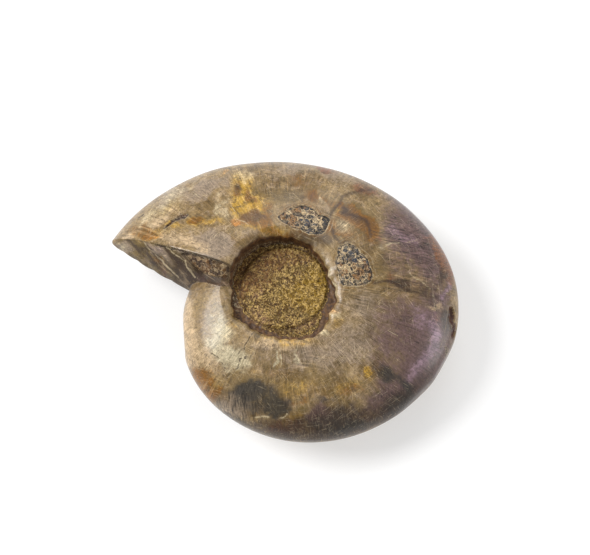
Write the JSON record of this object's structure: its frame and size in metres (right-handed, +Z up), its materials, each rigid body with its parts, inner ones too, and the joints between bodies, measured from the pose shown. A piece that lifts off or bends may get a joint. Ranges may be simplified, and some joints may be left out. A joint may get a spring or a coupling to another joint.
{
  "type": "ammonite fossil",
  "caption": "Polished coiled ammonite fossil lying on its flank, with a crystal-filled umbilicus, crystal windows in the flank and a broken mouth face.",
  "frame": {"origin": "on the floor plane, under the centre of the bounding box", "axes": "+Z up, out of the flank that shows; the coiling axis leans about two degrees from it; the shell grows anticlockwise seen from above, and its mouth is at -X"},
  "size_m": [0.0982, 0.0833, 0.0313],
  "materials": {
    "polished_shell": "polished shell and stone in tan, gold, olive and mauve, with brown stains, growth lines and fine scratches",
    "umbilicus_crystals": "rough golden brown crust of small crystals, glinting",
    "pocket_crystals": "rough crust of blue-grey and tan crystals, glinting"
  },
  "bodies": {
    "root": {"ammonite": "polished_shell", "umbilicus_crust": "umbilicus_crystals", "umbilicus_crust_underside": "umbilicus_crystals", "crystal_pocket_outer": "pocket_crystals", "crystal_pocket_inner": "pocket_crystals", "crystal_pocket_lip": "pocket_crystals"}
  },
  "joints": []
}
